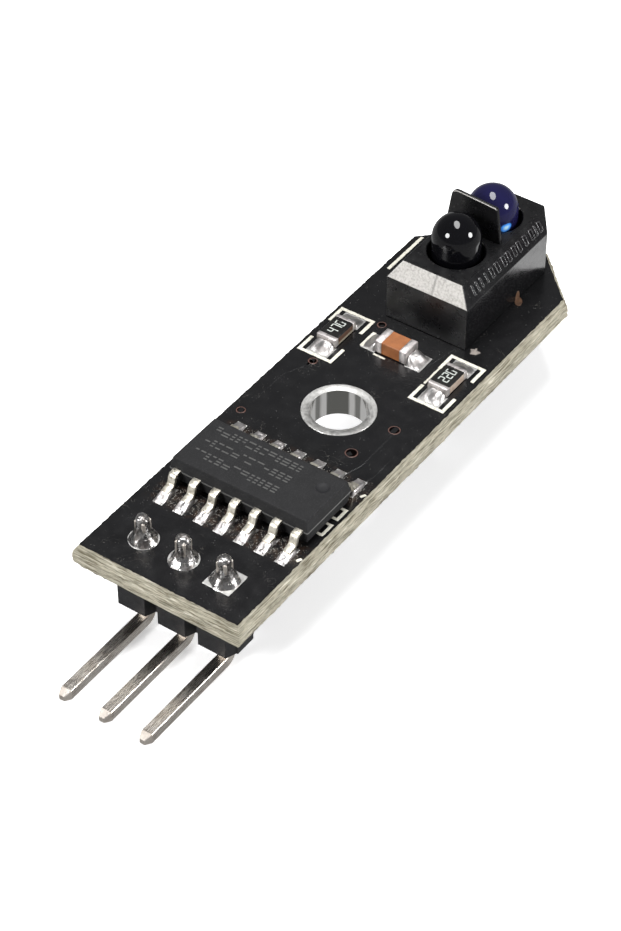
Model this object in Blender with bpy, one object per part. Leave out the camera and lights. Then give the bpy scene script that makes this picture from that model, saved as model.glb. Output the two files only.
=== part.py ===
"""Single-channel infrared line-tracking sensor module.

A black circuit board lies flat, its length along Y. The reflective sensor stands at the +Y end,
the 14-lead chip and the soldered pin stubs are near the -Y end, and the header hangs below it with
its three pins bent outwards along -Y. The origin is the centre of the footprint, on the plane that
the bent pins rest on.
"""
import math

import bmesh
import bpy
from mathutils import Vector

MM = 0.001
GAP = 0.02 * MM                   # clearance kept between pieces that touch
ROUND = 24                        # sides of a small turned piece

# Board
BOARD_WIDTH = 9.9 * MM
BOARD_LENGTH = 33.7 * MM
BOARD_THICK = 1.6 * MM
BOARD_CORNER = 3.2 * MM           # leg of the 45 degree corners at the far end

# Header: straight block below the board, pins bent outwards
PIN_SIDE = 0.64 * MM
PIN_PITCH = 2.54 * MM
PIN_HOLE_RADIUS = 0.50 * MM
PIN_STUB_HEIGHT = 1.57 * MM       # above the board's top face
PIN_BEND_RADIUS = 0.42 * MM       # of the pin's centre line
PIN_TIP_TAPER = 0.60 * MM
PIN_STUB_TAPER = 0.30 * MM
PIN_END_SHARE = 0.58              # of the side, at both ends of a pin
PIN_RUN_DROP = 5.45 * MM          # board top to the centre line of the bent run
PIN_REACH = 4.92 * MM             # past the board's near edge
HEADER_INSET = 2.18 * MM          # near edge to the pin row
HEADER_SHIFT = 0.04 * MM          # the row sits a little right of the board's centre line
BLOCK_DEPTH = 2.43 * MM
BLOCK_FACE = 1.73 * MM            # width of a unit's flat near face
BLOCK_CORNER = (0.24 * MM, 0.60 * MM)
BLOCK_END_TRIM = 0.08 * MM        # both ends are snapped a little short of a full pitch

# Mounting hole
MOUNT_INSET = 15.82 * MM
MOUNT_BORE_RADIUS = 1.55 * MM
MOUNT_RING_RADIUS = 2.02 * MM
PLATING_THICK = 0.05 * MM

# Small-outline chip with 14 leads
SOIC_CENTRE = (0.29 * MM, 8.33 * MM)
SOIC_LENGTH = 8.65 * MM
SOIC_WIDTH = 3.90 * MM
SOIC_HEIGHT = 1.62 * MM
SOIC_STANDOFF = 0.12 * MM
SOIC_MIDDLE = 0.92 * MM           # height of the parting line
SOIC_DRAFT = 0.14 * MM
SOIC_PITCH = 1.27 * MM
SOIC_SPAN = 6.10 * MM             # lead tip to lead tip
LEAD_WIDTH = 0.42 * MM
LEAD_THICK = 0.20 * MM
LEADS_PER_SIDE = 7
DIMPLE_OFFSET = (3.24 * MM, 1.06 * MM)
DIMPLE_RADIUS = 0.36 * MM
DIMPLE_DEPTH = 0.07 * MM

# Reflective sensor
SENSOR_CENTRE = (0.25 * MM, 28.50 * MM)
SENSOR_WIDTH = 5.16 * MM
SENSOR_LENGTH = 9.54 * MM
SENSOR_WALL_HEIGHT = 2.85 * MM    # up to where the faces start to slope
SENSOR_TOP_HEIGHT = 3.85 * MM
SENSOR_SIDE_SLOPE = 0.68 * MM
SENSOR_END_SLOPE = 0.52 * MM
SENSOR_CORNER = 1.30 * MM         # far vertical corners, cut at 45 degrees
LENS_RADIUS = 1.31 * MM
DETECTOR_HEIGHT = 4.85 * MM       # of the dome's centre
EMITTER_HEIGHT = 4.65 * MM
LENS_SPACING = 3.80 * MM
LENS_FOOT = 0.60 * MM
WELL_RADIUS = 1.60 * MM
DIVIDER_SHIFT = -0.10 * MM
DIVIDER_FOOT = 3.56 * MM          # width where it leaves the housing's top
DIVIDER_TOP = 2.96 * MM
DIVIDER_THICK = 0.30 * MM
DIVIDER_HEIGHT = 6.25 * MM
DIVIDER_ROUND = 0.45 * MM         # of the left top corner; the right one is square
SENSOR_LEAD_SIDE = 0.45 * MM
SENSOR_LEAD_PITCH = 1.90 * MM     # across the board
SENSOR_LEAD_BELOW = 1.30 * MM     # past the board's underside
SENSOR_HOLE_RADIUS = 0.42 * MM

# Chip resistors and capacitor: two terminations on a ceramic body
CHIP_LENGTH = 2.00 * MM
CHIP_WIDTH = 1.25 * MM
CHIP_END = 0.26 * MM
RESISTOR_HEIGHT = 0.52 * MM
CAPACITOR_HEIGHT = 0.80 * MM
CHIP_STANDOFF = 0.04 * MM
SOLDER_RUN = 0.85 * MM            # length of the solder past a chip's end
RESISTOR_1_CENTRE = (-3.61 * MM, 20.81 * MM)
RESISTOR_2_CENTRE = (3.53 * MM, 20.88 * MM)
CAPACITOR_CENTRE = (-0.12 * MM, 21.45 * MM)

# Frame: the board's near-left top corner is the reference of the insets above
OVERALL_LENGTH = BOARD_LENGTH + PIN_REACH
BOARD_TOP = PIN_RUN_DROP + PIN_SIDE / 2
NEAR_EDGE = -OVERALL_LENGTH / 2 + PIN_REACH
PIN_ROW = NEAR_EDGE + HEADER_INSET
MOUNT_Y = NEAR_EDGE + MOUNT_INSET
BOARD_UNDER = BOARD_TOP - BOARD_THICK


def clear_scene():
    for obj in list(bpy.data.objects):
        bpy.data.objects.remove(obj, do_unlink=True)


def make_material(name, colour, roughness, metallic=0.0):
    material = bpy.data.materials.new(name)
    material.use_nodes = True
    shader = material.node_tree.nodes["Principled BSDF"]
    shader.inputs["Base Color"].default_value = (*colour, 1.0)
    shader.inputs["Roughness"].default_value = roughness
    shader.inputs["Metallic"].default_value = metallic
    return material


def link_mesh(name, bm, material, location=(0.0, 0.0, 0.0), smooth_angle=None):
    """Turn a bmesh into an object of its own, with its faces pointing out."""
    bmesh.ops.recalc_face_normals(bm, faces=bm.faces)
    mesh = bpy.data.meshes.new(name)
    bm.to_mesh(mesh)
    bm.free()
    if smooth_angle is not None:
        mesh.shade_smooth()
        mesh.set_sharp_from_angle(angle=smooth_angle)
    if material:
        mesh.materials.append(material)
    obj = bpy.data.objects.new(name, mesh)
    obj.location = location
    bpy.context.collection.objects.link(obj)
    return obj


def extrude_outline(bm, points, low, high):
    """A prism over an outline in X and Y."""
    face = bm.faces.new([bm.verts.new((x, y, low)) for x, y in points])
    top = bmesh.ops.extrude_face_region(bm, geom=[face])["geom"]
    lifted = [item for item in top if isinstance(item, bmesh.types.BMVert)]
    bmesh.ops.translate(bm, verts=lifted, vec=(0.0, 0.0, high - low))


def bridge_rings(bm, rings):
    """Skin a row of rings of equal length and close both ends."""
    loops = [[bm.verts.new(point) for point in ring] for ring in rings]
    count = len(loops[0])
    for low, high in zip(loops, loops[1:]):
        for i in range(count):
            j = (i + 1) % count
            bm.faces.new((low[i], low[j], high[j], high[i]))
    bm.faces.new(list(reversed(loops[0])))
    bm.faces.new(loops[-1])


def turn_profile(bm, profile, sides=ROUND, closed=False):
    """Turn (radius, height) points about Z. A closed profile gives a ring with a bore."""
    rings = []
    for radius, height in profile:
        if radius == 0.0:
            rings.append([bm.verts.new((0.0, 0.0, height))])
            continue
        angles = [2 * math.pi * k / sides for k in range(sides)]
        rings.append([bm.verts.new((radius * math.cos(a), radius * math.sin(a), height)) for a in angles])
    pairs = list(zip(rings, rings[1:]))
    if closed:
        pairs.append((rings[-1], rings[0]))
    for low, high in pairs:
        for i in range(sides):
            j = (i + 1) % sides
            corners = [low[i % len(low)], low[j % len(low)], high[j % len(high)], high[i % len(high)]]
            bm.faces.new(list(dict.fromkeys(corners)))


def add_box(bm, centre, size):
    corners = bmesh.ops.create_cube(bm, size=1.0)["verts"]
    bmesh.ops.scale(bm, verts=corners, vec=size)
    bmesh.ops.translate(bm, verts=corners, vec=centre)


def add_drill(bm, x, y, radius, low, high, sides=ROUND):
    made = bmesh.ops.create_cone(bm, segments=sides, radius1=radius, radius2=radius,
                                 depth=high - low, cap_ends=True)
    bmesh.ops.translate(bm, verts=made["verts"], vec=(x, y, (low + high) / 2))


def cut_with(obj, name, bm):
    """Cut a hidden cutter out of an object."""
    cutter = link_mesh(name, bm, None)
    cutter.hide_render = True
    cutter.display_type = "WIRE"
    modifier = obj.modifiers.new(name, "BOOLEAN")
    modifier.operation = "DIFFERENCE"
    modifier.solver = "EXACT"
    modifier.object = cutter


def pin_positions():
    return [HEADER_SHIFT + (k - 1) * PIN_PITCH for k in range(3)]


def sensor_lead_positions():
    """Detector leads first, then the emitter's."""
    x, y = SENSOR_CENTRE
    return [(x + side * SENSOR_LEAD_PITCH / 2, NEAR_EDGE + y + end * LENS_SPACING / 2)
            for end in (-1, 1) for side in (-1, 1)]


def make_board(material):
    half = BOARD_WIDTH / 2
    far = NEAR_EDGE + BOARD_LENGTH
    outline = [(-half, NEAR_EDGE), (half, NEAR_EDGE), (half, far - BOARD_CORNER),
               (half - BOARD_CORNER, far), (BOARD_CORNER - half, far), (-half, far - BOARD_CORNER)]
    bm = bmesh.new()
    extrude_outline(bm, outline, BOARD_UNDER, BOARD_TOP)
    board = link_mesh("pcb", bm, material)
    bm = bmesh.new()
    low, high = BOARD_UNDER - MM, BOARD_TOP + MM
    bore = MOUNT_BORE_RADIUS + PLATING_THICK + GAP
    add_drill(bm, 0.0, MOUNT_Y, bore, low, high, 2 * ROUND)
    for x in pin_positions():
        add_drill(bm, x, PIN_ROW, PIN_HOLE_RADIUS, low, high)
    for x, y in sensor_lead_positions():
        add_drill(bm, x, y, SENSOR_HOLE_RADIUS, low, high)
    cut_with(board, "board_drills", bm)


def make_plating(material):
    """Tinned barrel with a flat ring on each face of the board."""
    inner = MOUNT_BORE_RADIUS
    outer = inner + PLATING_THICK
    top = BOARD_TOP + GAP
    under = BOARD_UNDER - GAP
    profile = [(inner, under - PLATING_THICK), (MOUNT_RING_RADIUS, under - PLATING_THICK),
               (MOUNT_RING_RADIUS, under), (outer, under), (outer, top), (MOUNT_RING_RADIUS, top),
               (MOUNT_RING_RADIUS, top + PLATING_THICK), (inner, top + PLATING_THICK)]
    bm = bmesh.new()
    turn_profile(bm, profile, 2 * ROUND, closed=True)
    link_mesh("mounting_hole_plating", bm, material, (0.0, MOUNT_Y, 0.0), math.radians(40))


def make_header_block(material):
    """Three octagonal units in a row, joined by webs, with a square hole for each pin."""
    half = PIN_PITCH / 2
    corner_x, corner_y = BLOCK_CORNER
    low_y = PIN_ROW - half
    web_y = low_y + corner_y
    face = BLOCK_FACE / 2
    centres = pin_positions()
    near = [(centres[0] - half + BLOCK_END_TRIM, web_y)]
    for x in centres:
        near += [(x - face - corner_x, web_y), (x - face, low_y), (x + face, low_y), (x + face + corner_x, web_y)]
    near.append((centres[-1] + half - BLOCK_END_TRIM, web_y))
    far = [(x, 2 * PIN_ROW - y) for x, y in reversed(near)]
    top = BOARD_UNDER - GAP
    bm = bmesh.new()
    extrude_outline(bm, near + far, top - BLOCK_DEPTH, top)
    block = link_mesh("header_block", bm, material)
    bm = bmesh.new()
    side = PIN_SIDE + 2 * GAP
    for x in centres:
        add_box(bm, (x, PIN_ROW, top - BLOCK_DEPTH / 2), (side, side, 2 * BLOCK_DEPTH))
    cut_with(block, "header_slots", bm)


def pin_path():
    """Centre line of a pin from the stub to the bent tip: Y, Z, direction and share of the full side."""
    run = PIN_SIDE / 2
    bend_top = run + PIN_BEND_RADIUS
    stub = BOARD_TOP + PIN_STUB_HEIGHT
    tip = -HEADER_INSET - PIN_REACH
    path = [(0.0, stub, math.pi / 2, PIN_END_SHARE), (0.0, stub - PIN_STUB_TAPER, math.pi / 2, 1.0)]
    steps = 8
    for k in range(steps + 1):
        turn = math.pi / 2 * k / steps
        path.append((PIN_BEND_RADIUS * (math.cos(turn) - 1), bend_top - PIN_BEND_RADIUS * math.sin(turn),
                     math.pi / 2 - turn, 1.0))
    return path + [(tip + PIN_TIP_TAPER, run, 0.0, 1.0), (tip, run, 0.0, PIN_END_SHARE)]


def make_pin(name, x, material):
    rings = []
    for y, z, lean, share in pin_path():
        half = share * PIN_SIDE / 2
        across = Vector((0.0, math.sin(lean), -math.cos(lean))) * half
        side = Vector((half, 0.0, 0.0))
        centre = Vector((0.0, y, z))
        rings.append([centre - side - across, centre + side - across,
                      centre + side + across, centre - side + across])
    bm = bmesh.new()
    bridge_rings(bm, rings)
    link_mesh(name, bm, material, (x, PIN_ROW, 0.0))


def make_solder_cone(name, x, y, base, height, inner, outer, up, material):
    """A hollow-sided cone of solder around a lead; up is 1 on the top face and -1 below."""
    steps = 6
    profile = [(inner, base)]
    for k in range(steps + 1):
        t = k / steps
        radius = inner + GAP + (outer - inner - GAP) * (1 - t) ** 2
        profile.append((radius, base + up * height * t))
    profile.append((inner, base + up * height))
    bm = bmesh.new()
    turn_profile(bm, profile, closed=True)
    link_mesh(name, bm, material, (x, y, 0.0), math.radians(50))


def make_header(plastic, metal, solder):
    make_header_block(plastic)
    for index, x in enumerate(pin_positions(), 1):
        make_pin(f"header_pin_{index}", x, metal)
        make_solder_cone(f"header_solder_{index}", x, PIN_ROW, BOARD_TOP + GAP, 1.15 * MM,
                         PIN_SIDE * math.sqrt(0.5) + GAP, 0.80 * MM, 1, solder)


def soic_ring(inset, height):
    x, y = SOIC_LENGTH / 2 - inset, SOIC_WIDTH / 2 - inset
    return [(-x, -y, height), (x, -y, height), (x, y, height), (-x, y, height)]


def make_soic_body(material):
    middle = SOIC_MIDDLE
    rings = [soic_ring(SOIC_DRAFT, SOIC_STANDOFF), soic_ring(0.0, middle - 0.03 * MM),
             soic_ring(0.0, middle + 0.03 * MM), soic_ring(SOIC_DRAFT, SOIC_HEIGHT)]
    bm = bmesh.new()
    bridge_rings(bm, rings)
    x, y = SOIC_CENTRE[0], NEAR_EDGE + SOIC_CENTRE[1]
    body = link_mesh("soic_body", bm, material, (x, y, BOARD_TOP))
    bm = bmesh.new()
    add_drill(bm, x + DIMPLE_OFFSET[0], y + DIMPLE_OFFSET[1], DIMPLE_RADIUS,
              BOARD_TOP + SOIC_HEIGHT - DIMPLE_DEPTH, BOARD_TOP + SOIC_HEIGHT + MM)
    cut_with(body, "soic_dimple", bm)


def gull_wing():
    """Centre line of a lead from the body to its tip: outward distance and height."""
    start = SOIC_WIDTH / 2 + GAP
    tip = SOIC_SPAN / 2
    foot = LEAD_THICK / 2 + CHIP_STANDOFF
    return [(start, SOIC_MIDDLE), (start + 0.26 * MM, SOIC_MIDDLE),
            (start + 0.38 * MM, SOIC_MIDDLE - 0.12 * MM), (tip - 0.62 * MM, foot + 0.12 * MM),
            (tip - 0.50 * MM, foot), (tip, foot)]


def make_soic_lead(name, x, side, material):
    path = [Vector((0.0, out, up)) for out, up in gull_wing()]
    rings = []
    for index, point in enumerate(path):
        before = path[max(index - 1, 0)]
        after = path[min(index + 1, len(path) - 1)]
        along = (after - before).normalized()
        normal = Vector((0.0, -along.z, along.y)) * LEAD_THICK / 2
        half = Vector((LEAD_WIDTH / 2, 0.0, 0.0))
        rings.append([point - half - normal, point + half - normal,
                      point + half + normal, point - half + normal])
    rings[0] = [Vector((p.x, path[0].y, p.z)) for p in rings[0]]
    if side < 0:
        rings = [[Vector((p.x, -p.y, p.z)) for p in ring] for ring in rings]
    bm = bmesh.new()
    bridge_rings(bm, rings)
    centre = (SOIC_CENTRE[0] + x, NEAR_EDGE + SOIC_CENTRE[1], BOARD_TOP)
    link_mesh(name, bm, material, centre)


def make_soic(plastic, metal):
    """Lead 1 is at the +X end of the far row, beside the dimple, and the numbers run round the body."""
    make_soic_body(plastic)
    for index in range(LEADS_PER_SIDE):
        x = (LEADS_PER_SIDE // 2 - index) * SOIC_PITCH
        make_soic_lead(f"soic_lead_{index + 1:02d}", x, 1, metal)
        make_soic_lead(f"soic_lead_{index + 1 + LEADS_PER_SIDE:02d}", -x, -1, metal)


def housing_rings():
    """Outlines of the housing, from its foot to its top. The far corners are cut in the walls only."""
    x, y, cut = SENSOR_WIDTH / 2, SENSOR_LENGTH / 2, SENSOR_CORNER
    walls = [(-x, -y), (x, -y), (x, y - cut), (x - cut, y), (cut - x, y), (-x, y - cut)]
    tx, ty, tip = x - SENSOR_SIDE_SLOPE, y - SENSOR_END_SLOPE, 0.10 * MM
    top = [(-tx, -ty), (tx, -ty), (tx, ty - tip), (tx - tip, ty), (tip - tx, ty), (-tx, ty - tip)]
    heights = [(walls, GAP), (walls, SENSOR_WALL_HEIGHT), (top, SENSOR_TOP_HEIGHT)]
    return [[(px, py, height) for px, py in outline] for outline, height in heights]


def divider_outline():
    """The tapered plate between the lenses in X and Z, with its left top corner rounded."""
    foot, half, radius = DIVIDER_FOOT / 2, DIVIDER_TOP / 2, DIVIDER_ROUND
    low = SENSOR_TOP_HEIGHT - 0.5 * MM
    points = [(-foot, low), (foot, low), (foot, SENSOR_TOP_HEIGHT), (half, DIVIDER_HEIGHT)]
    for k in range(5):
        angle = math.radians(90 + 80 * k / 4)
        points.append((radius - half + radius * math.cos(angle),
                       DIVIDER_HEIGHT - radius + radius * math.sin(angle)))
    points.append((-foot, SENSOR_TOP_HEIGHT))
    return [(x + DIVIDER_SHIFT, z) for x, z in points]


def make_divider_body():
    """The plate as its own body, joined to the housing by a Boolean union."""
    bm = bmesh.new()
    half = DIVIDER_THICK / 2
    bridge_rings(bm, [[(x, y, z) for x, z in divider_outline()] for y in (half, -half)])
    return bm


def make_housing(material):
    centre = (SENSOR_CENTRE[0], NEAR_EDGE + SENSOR_CENTRE[1], BOARD_TOP)
    bm = bmesh.new()
    bridge_rings(bm, housing_rings())
    housing = link_mesh("sensor_housing", bm, material, centre)
    plate = link_mesh("sensor_divider_guide", make_divider_body(), None, centre)
    plate.hide_render = True
    plate.display_type = "WIRE"
    joined = housing.modifiers.new("divider", "BOOLEAN")
    joined.operation = "UNION"
    joined.solver = "EXACT"
    joined.object = plate
    bm = bmesh.new()
    for side in (-1, 1):
        add_drill(bm, centre[0], centre[1] + side * LENS_SPACING / 2, WELL_RADIUS,
                  centre[2] - MM, centre[2] + DIVIDER_HEIGHT + MM, 2 * ROUND)
    cut_with(housing, "sensor_wells", bm)


def make_lens(name, side, height, material):
    """A domed package: a cylinder with a hemisphere on top."""
    steps = 8
    profile = [(0.0, LENS_FOOT), (LENS_RADIUS, LENS_FOOT), (LENS_RADIUS, height)]
    for k in range(1, steps):
        angle = math.pi / 2 * k / steps
        profile.append((LENS_RADIUS * math.cos(angle), height + LENS_RADIUS * math.sin(angle)))
    profile.append((0.0, height + LENS_RADIUS))
    bm = bmesh.new()
    turn_profile(bm, profile, 32)
    place = (SENSOR_CENTRE[0], NEAR_EDGE + SENSOR_CENTRE[1] + side * LENS_SPACING / 2, BOARD_TOP)
    link_mesh(name, bm, material, place, math.radians(40))


def make_sensor_leads(metal, solder):
    for index, (x, y) in enumerate(sensor_lead_positions(), 1):
        top = BOARD_TOP + LENS_FOOT - GAP
        low = BOARD_UNDER - SENSOR_LEAD_BELOW
        bm = bmesh.new()
        add_box(bm, (0.0, 0.0, (top + low) / 2), (SENSOR_LEAD_SIDE, SENSOR_LEAD_SIDE, top - low))
        link_mesh(f"sensor_lead_{index}", bm, metal, (x, y, 0.0))
        make_solder_cone(f"sensor_solder_{index}", x, y, BOARD_UNDER - GAP, 0.85 * MM,
                         SENSOR_LEAD_SIDE * math.sqrt(0.5) + GAP, 0.78 * MM, -1, solder)


def make_sensor(plastic, emitter, detector, metal, solder):
    make_housing(plastic)
    make_lens("detector_lens", -1, DETECTOR_HEIGHT, detector)
    make_lens("emitter_lens", 1, EMITTER_HEIGHT, emitter)
    make_sensor_leads(metal, solder)


def solder_wedge(height, width):
    """Solder that falls away from a chip's end in a hollow curve, along +X."""
    steps = 5
    rings = []
    for side in (-1, 1):
        ring = [(0.0, 0.0), (SOLDER_RUN, 0.0)]
        for k in range(steps + 1):
            t = 1 - k / steps
            ring.append((SOLDER_RUN * t, 0.06 * MM + (height - 0.06 * MM) * (1 - t) ** 1.6))
        rings.append([(x, side * width / 2, z) for x, z in ring])
    bm = bmesh.new()
    bridge_rings(bm, rings)
    return bm


def make_chip(name, centre, height, lengthwise, body_material, end_material, solder, first_joint):
    """A chip part: ceramic body, a termination at each end and solder past both of them."""
    turn = math.pi / 2 if lengthwise else 0.0
    base = BOARD_TOP + CHIP_STANDOFF
    place = Vector((centre[0], NEAR_EDGE + centre[1], base))
    body_length = CHIP_LENGTH - 2 * CHIP_END - 2 * GAP
    bm = bmesh.new()
    add_box(bm, (0.0, 0.0, height / 2), (body_length, CHIP_WIDTH - 2 * GAP, height - 2 * GAP))
    link_mesh(f"{name}_body", bm, body_material, place).rotation_euler.z = turn
    for index, side in enumerate((-1, 1)):
        bm = bmesh.new()
        add_box(bm, (side * (CHIP_LENGTH - CHIP_END) / 2, 0.0, height / 2), (CHIP_END, CHIP_WIDTH, height))
        link_mesh(f"{name}_end_{'ab'[index]}", bm, end_material, place).rotation_euler.z = turn
        bm = solder_wedge(0.8 * height, CHIP_WIDTH)
        angle = turn + (math.pi if side < 0 else 0.0)
        offset = Vector((math.cos(angle), math.sin(angle), 0.0)) * (CHIP_LENGTH / 2 + GAP)
        joint = link_mesh(f"chip_solder_{first_joint + index}", bm, solder, place + offset)
        joint.rotation_euler.z = angle


def make_chips(solder):
    ceramic = make_material("resistor ceramic", (0.05, 0.045, 0.04), 0.45)
    tan = make_material("capacitor ceramic", (0.56, 0.26, 0.10), 0.50)
    tin = make_material("tinned termination", (0.62, 0.60, 0.57), 0.35, 1.0)
    make_chip("resistor_1", RESISTOR_1_CENTRE, RESISTOR_HEIGHT, True, ceramic, tin, solder, 1)
    make_chip("resistor_2", RESISTOR_2_CENTRE, RESISTOR_HEIGHT, True, ceramic, tin, solder, 3)
    make_chip("capacitor", CAPACITOR_CENTRE, CAPACITOR_HEIGHT, False, tan, tin, solder, 5)


def main():
    clear_scene()
    mask = make_material("black solder mask", (0.014, 0.014, 0.015), 0.35)
    plating = make_material("tinned copper", (0.66, 0.64, 0.60), 0.30, 1.0)
    solder = make_material("solder", (0.68, 0.66, 0.63), 0.28, 1.0)
    pin_metal = make_material("plated pin", (0.52, 0.47, 0.42), 0.33, 1.0)
    lead_metal = make_material("tinned lead", (0.70, 0.67, 0.60), 0.35, 1.0)
    header_black = make_material("header plastic", (0.012, 0.012, 0.013), 0.40)
    chip_black = make_material("chip resin", (0.035, 0.035, 0.036), 0.60)
    housing_black = make_material("housing plastic", (0.010, 0.010, 0.011), 0.30)
    blue_lens = make_material("blue lens", (0.02, 0.02, 0.16), 0.08)
    black_lens = make_material("black lens", (0.006, 0.006, 0.008), 0.08)
    make_board(mask)
    make_plating(plating)
    make_header(header_black, pin_metal, solder)
    make_soic(chip_black, lead_metal)
    make_sensor(housing_black, blue_lens, black_lens, lead_metal, solder)
    make_chips(solder)


main()
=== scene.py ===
"""Looks for the line-tracking sensor module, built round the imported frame.

Shapes are made in millimetres from the board's own reference: X from its centre line, Y from its
header edge and Z from its component side.
"""
import math
import random

import bmesh
import bpy
from mathutils import Matrix, Vector, noise
from mathutils.geometry import tessellate_polygon


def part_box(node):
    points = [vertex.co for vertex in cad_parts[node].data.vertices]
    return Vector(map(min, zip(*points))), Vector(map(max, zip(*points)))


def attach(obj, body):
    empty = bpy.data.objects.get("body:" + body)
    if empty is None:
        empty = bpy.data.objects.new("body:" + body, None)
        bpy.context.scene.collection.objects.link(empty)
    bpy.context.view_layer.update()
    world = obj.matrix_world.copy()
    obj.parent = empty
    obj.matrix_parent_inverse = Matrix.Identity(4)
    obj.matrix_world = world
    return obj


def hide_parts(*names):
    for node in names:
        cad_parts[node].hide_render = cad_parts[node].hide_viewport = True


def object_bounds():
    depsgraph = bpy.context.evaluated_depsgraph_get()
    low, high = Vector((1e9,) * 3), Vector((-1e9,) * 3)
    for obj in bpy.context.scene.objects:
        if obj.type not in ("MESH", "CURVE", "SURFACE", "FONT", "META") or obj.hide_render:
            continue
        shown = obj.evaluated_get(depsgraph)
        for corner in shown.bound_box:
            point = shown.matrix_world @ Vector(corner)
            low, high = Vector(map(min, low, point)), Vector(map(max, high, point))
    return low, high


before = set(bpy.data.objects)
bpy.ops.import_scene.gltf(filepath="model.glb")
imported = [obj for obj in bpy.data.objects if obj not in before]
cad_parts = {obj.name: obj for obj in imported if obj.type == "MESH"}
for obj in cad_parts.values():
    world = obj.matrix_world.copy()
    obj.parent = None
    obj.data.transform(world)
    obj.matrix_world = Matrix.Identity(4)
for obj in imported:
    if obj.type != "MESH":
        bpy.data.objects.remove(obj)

cad_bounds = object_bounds()
MM = 0.001
BOARD_LOW, BOARD_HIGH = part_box("pcb")
ORIGIN = Vector(((BOARD_LOW.x + BOARD_HIGH.x) / 2, BOARD_LOW.y, BOARD_HIGH.z))
TO_FRAME = Matrix.Translation(ORIGIN) @ Matrix.Scale(MM, 4)
BOARD_WIDTH, BOARD_LENGTH, BOARD_THICK = (BOARD_HIGH - BOARD_LOW) / MM
FLOOR_DROP = (cad_bounds[0][2] - ORIGIN.z) / MM

# Camera: aimed at a point on the board's top plane
CAMERA_AZIMUTH = 35.07
CAMERA_ELEVATION = 42.78
CAMERA_DISTANCE = 143.0
CAMERA_LENS = 107.0
CAMERA_AIM = (1.25, 11.43, 0.0)
FLOOR_REACH = 2.0                 # metres

# Board
BOARD_CORNER = 3.2
MASK_THICK = 0.03
SCORE_BULGE = 0.27                # the snapped web stands proud of both faces' edges
EDGE_STEP = 0.11
PLATING_RADII = (1.55, 2.04)
TRACE_HEIGHT = 0.012
PRINT_HEIGHT = 0.016
PAD_HEIGHT = 0.015
PAD_FOOT = -0.01                  # pads and tracks start inside the mask
PLATING_HEIGHT = 0.045

# Chip and its leads
SOIC_LEAD_WIDTH = 0.46
SOIC_LEAD_THICK = 0.20
SOIC_PAD_WIDTH = 0.60
SOIC_PAD_REACH = 0.66             # past a lead's tip
SOIC_PAD_ROW = 2.75               # from the chip's middle
SOIC_PARTING = 0.92               # height where the two halves of its mould met


def cad(node):
    """A CAD node's lowest and highest corners, in board millimetres."""
    return [(corner - ORIGIN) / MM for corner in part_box(node)]


def cad_centre(node):
    low, high = cad(node)
    return (low + high) / 2


def at(x, y, z=0.0, turn=0.0, axis="Z", flip=False):
    """A move to a point after a turn in radians, or after a flip upside down."""
    around = Matrix.Diagonal((1, 1, -1, 1)) if flip else Matrix.Rotation(turn, 4, axis)
    return Matrix.Translation((x, y, z)) @ around


def level(outline, z):
    return [(x, y, z) for x, y in outline]


def stack(outline, *heights):
    """The same outline at several heights."""
    return [level(outline, z) for z in heights]


# Pale flux left on the board: its centre and reach
RESIDUE = ((3.34, 23.94, 0.0), (0.75, 0.75, 0.75))

# The bright part of the floor that the housing's right wall mirrors: its centre and reach
MIRRORED_GLARE = ((7.6, 37.6, FLOOR_DROP), (10.0, 10.0, 10.0))
FLOOR_FADE = (800.0, 800.0, 800.0)

# The painted highlight low on the emitter's right side, a bright spot painted into the lens's colour:
# centre, half sizes and colour
EMITTER = cad_centre("emitter_lens")
EMITTER_PAINTED_GLINT = (EMITTER + Vector((1.20, -0.61, 0.62)), (0.50, 0.50, 0.42), (0.07, 0.32, 0.95))


# ---------------------------------------------------------------- shaders

class Signal:
    """A node's output, ready for arithmetic."""

    def __init__(self, shader, socket):
        self.shader, self.socket = shader, socket

    def operator(operation):
        return lambda self, other=0.0: self.shader.math(operation, self, other)

    __add__, __sub__, __mul__ = operator("ADD"), operator("SUBTRACT"), operator("MULTIPLY")
    __lt__, __gt__, __abs__ = operator("LESS_THAN"), operator("GREATER_THAN"), operator("ABSOLUTE")


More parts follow.
